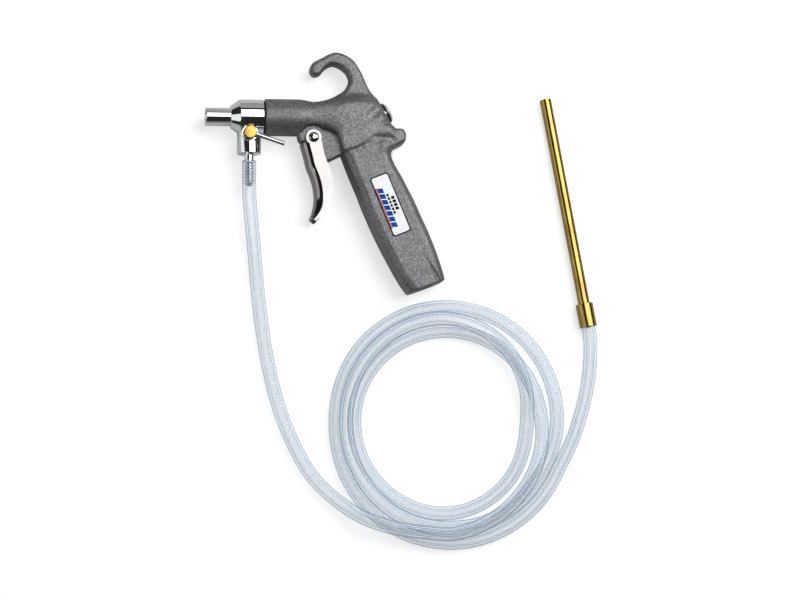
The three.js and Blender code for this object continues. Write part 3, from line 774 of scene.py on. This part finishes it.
def make_barb():
    tip, stem, ridge, pitch, first = -9.4, 2.55, 4.1, 2.05, 6.6
    profile = [[1.5, 19], [3.05, 19], [3.05, first + 1.2], [stem + 0.1, first + 0.9]]
    for k in range(8):
        top = first - k * pitch
        profile += [[ridge - 0.35, top + 0.3], [ridge, top], [stem, top - pitch + 0.75]]
    profile += [[stem - 0.4, tip], [1.5, tip]]
    turned("barb", profile, boss_line, CHROME, "gun", "chrome_plate", ("hose_barb",), closed=True, edge=0.12,
           facets=64)


make_head()
make_petcock()
make_barb()


# ---- Valve cap, trigger pin, ferrule and pickup tube ----

def make_cap():
    """The screwed plug behind the valve, with a slot for a coin or a driver."""
    dome = scratch(*turned_geometry([
        [0, -3.4], [3.2, -3.32], [5.6, -2.75], [6.9, -1.8], [7.3, -1.1], [7.3, -0.9], [5.4, -0.9], [5.4, 4.5],
        [3.8, 4.5], [3.8, -0.6], [0, -0.6],
    ], valve_line, edge=0.3))
    slot_place = valve_line @ Matrix.Translation((0, 0, -3.4 * MM))
    slot = scratch([slot_place @ (Vector((sx * 4.5, sy * 0.8, sz * 0.7)) * MM)
                    for sx in (-1, 1) for sy in (-1, 1) for sz in (-1, 1)],
                   [(0, 1, 3, 2), (4, 6, 7, 5), (0, 4, 5, 1), (2, 3, 7, 6), (0, 2, 6, 4), (1, 5, 7, 3)])
    vertices, faces = combine(dome, cuts=[slot])
    crisp(piece("slotted_cap", vertices, faces, BRIGHT_NICKEL, "gun", ("valve_cap",)), 30)


make_cap()
turned("rivet_pin", [
    [0, 2.2], [1.4, 2.2], [1.4, 3.9], [1.9, 4.1], [1.9, 21.25], [3.5, 21.25], [3.5, 21.6], [3.2, 22.0],
    [2.5, 22.5], [1.6, 22.85], [0.8, 22.95], [0, 22.95],
], pivot_line, STEEL, "gun", "steel", ("trigger_pin",), edge=0.1, facets=64)
ferrule = turned("brass_ferrule", [
    [5.1, 0], [5.95, 0], [5.95, 16], [4.3, 16], [4.3, 13.6], [5.1, 13.6],
], pickup_line, AGED_BRASS, "gun", "aged_brass", ("ferrule",), closed=True, edge=0.25)
pickup_tube = turned("brass_pickup_tube", [
    [3.15, 12.5], [3.97, 12.5], [3.97, PICKUP_LENGTH], [3.15, PICKUP_LENGTH],
], pickup_line, AGED_BRASS, "gun", "aged_brass", ("pickup_tube",), closed=True, edge=0.2)
make_hose()


# ---- Label: white film with a thin black border, colour bars and rows of small marks ----

LABEL_X, LABEL_Y, LABEL_LEAN = 43.4, -23.2, -68.1   # its middle in mm, and the grip's slope in degrees

def slab(name, corners, low, high, place, material):
    """A thin flat plate from an outline in mm, between two heights in mm, laid on a place."""
    count = len(corners)
    vertices = [place @ (Vector((x, y, z)) * MM) for z in (low, high) for x, y in corners]
    faces = [tuple(range(count))[::-1], tuple(range(count, 2 * count))]
    faces += [(k, (k + 1) % count, count + (k + 1) % count, count + k) for k in range(count)]
    return piece(name, vertices, faces, material, "gun", smooth=False)


def rounded_box(length, width, radius, steps=6):
    corners = []
    for cx, cy, start in ((1, -1, -90), (1, 1, 0), (-1, 1, 90), (-1, -1, 180)):
        for k in range(steps + 1):
            turn = radians(start + 90 * k / steps)
            corners.append((cx * (length / 2 - radius) + radius * cos(turn),
                            cy * (width / 2 - radius) + radius * sin(turn)))
    return corners


def make_label():
    turn = Matrix.Rotation(radians(LABEL_LEAN), 4, "Z")
    place = Matrix.Translation((LABEL_X * MM, LABEL_Y * MM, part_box("label")[0].z)) @ turn
    film = slab("label_film", rounded_box(42.8, 13.3, 2.0), 0, 0.24, place, LABEL_BLACK)
    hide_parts("label")
    slab("label_face", rounded_box(41.1, 11.6, 1.4), 0.2, 0.28, place, LABEL_WHITE)
    for k in range(7):
        left = -13.2 + 4.1 * k
        slab(f"label_block_{k}", [(left, -4.7), (left + 3.4, -4.7), (left + 4.5, -1.0), (left + 1.1, -1.0)],
             0.24, 0.31, place, LABEL_BLUE)
    for k, y in enumerate((-5.0, -5.55)):
        slab(f"label_stripe_{k}", [(-13.6, y - 0.2), (15.6, y - 0.2), (15.8, y + 0.2), (-13.4, y + 0.2)],
             0.24, 0.31, place, LABEL_RED)
    for k in range(6):
        left = -7.6 + 2.5 * k
        slab(f"label_dash_{k}", [(left, -0.3), (left + 1.9, -0.3), (left + 2.1, 1.2), (left + 0.2, 1.2)],
             0.24, 0.31, place, LABEL_BLACK)
    for k in range(4):
        left = -5.0 + 2.6 * k
        slab(f"label_mark_{k}", [(left, 2.1), (left + 2.0, 2.1), (left + 2.2, 4.4), (left + 0.2, 4.4)],
             0.24, 0.31, place, LABEL_BLACK)


make_label()


# ---- Finishes of the small CAD pieces that show as they are ----

FINISHES = {
    "valve_spring": STEEL, "valve_stem": STEEL, "pin_retainer": STEEL,
    "plug_washer": STEEL, "plug_nut": STEEL,
    "valve_poppet": YELLOW_BRASS, "packing_gland": YELLOW_BRASS, "air_jet": YELLOW_BRASS,
    "hose_insert": AGED_BRASS,
    "cap_gasket": RUBBER, "head_gasket": RUBBER, "seat_washer": RUBBER, "stem_packing": NYLON,
}
for node, material in FINISHES.items():
    mesh = frame["nodes"][node].data
    mesh.materials.clear()
    mesh.materials.append(material)


# ---- Floor, lights and world ----

def make_stage():
    """A pale floor that looks white to the camera and stays grey in what the chrome reflects."""
    floor = bpy.data.objects.new("floor", bpy.data.meshes.new("floor"))
    floor.data.from_pydata([(-5, -5, 0), (5, -5, 0), (5, 5, 0), (-5, 5, 0)], [], [(0, 1, 2, 3)])
    white = Shader("floor_white", (0.62, 0.62, 0.62), Roughness=0.75, Emission_Color=(1, 1, 1, 1))
    seen = white.node("ShaderNodeLightPath").outputs["Is Camera Ray"]
    floor.data.materials.append(white.use(Emission_Strength=white.span(seen, 0.12, 0.63)))
    bpy.context.collection.objects.link(floor)


def softbox(name, place, aim, width, height, radiance, colour=(1, 1, 1)):
    light = bpy.data.lights.new(name, "AREA")
    light.shape = "RECTANGLE"
    light.size, light.size_y = width, height
    light.energy = radiance * pi * width * height
    light.color = colour
    made = bpy.data.objects.new(name, light)
    back = (Vector(place) - Vector(aim)).normalized()
    side = Vector((0, 1, 0)).cross(back)
    side = side.normalized() if side.length > 0.01 else Vector((1, 0, 0))
    turn = Matrix((side, back.cross(side), back)).transposed().to_4x4()
    made.matrix_world = Matrix.Translation(place) @ turn
    bpy.context.collection.objects.link(made)


make_stage()
softbox("overhead", (0.95, 0.52, 1.3), (0.95, 0.52, 0), 1.9, 1.15, 4.0)
softbox("back_wall", (0, 2.4, 1.0), (0, 0, 1.0), 5, 1.7, 0.4)
softbox("front_low", (0, -2.4, 0.5), (0, 0, 0.5), 5, 0.9, 0.18)
softbox("left_wall", (-2.2, -0.2, 0.75), (0, -0.2, 0.75), 2.8, 1.4, 1.1)
softbox("left_strip", (-1.0, -0.5, 1.3), (0, 0, 0), 0.22, 0.6, 5.0)

world = bpy.data.worlds.new("studio")
world.use_nodes = True
world.node_tree.nodes["Background"].inputs["Color"].default_value = (0.9, 0.95, 1.0, 1)
world.node_tree.nodes["Background"].inputs["Strength"].default_value = 0.03
bpy.context.scene.world = world
bpy.context.scene.view_settings.view_transform = "Standard"
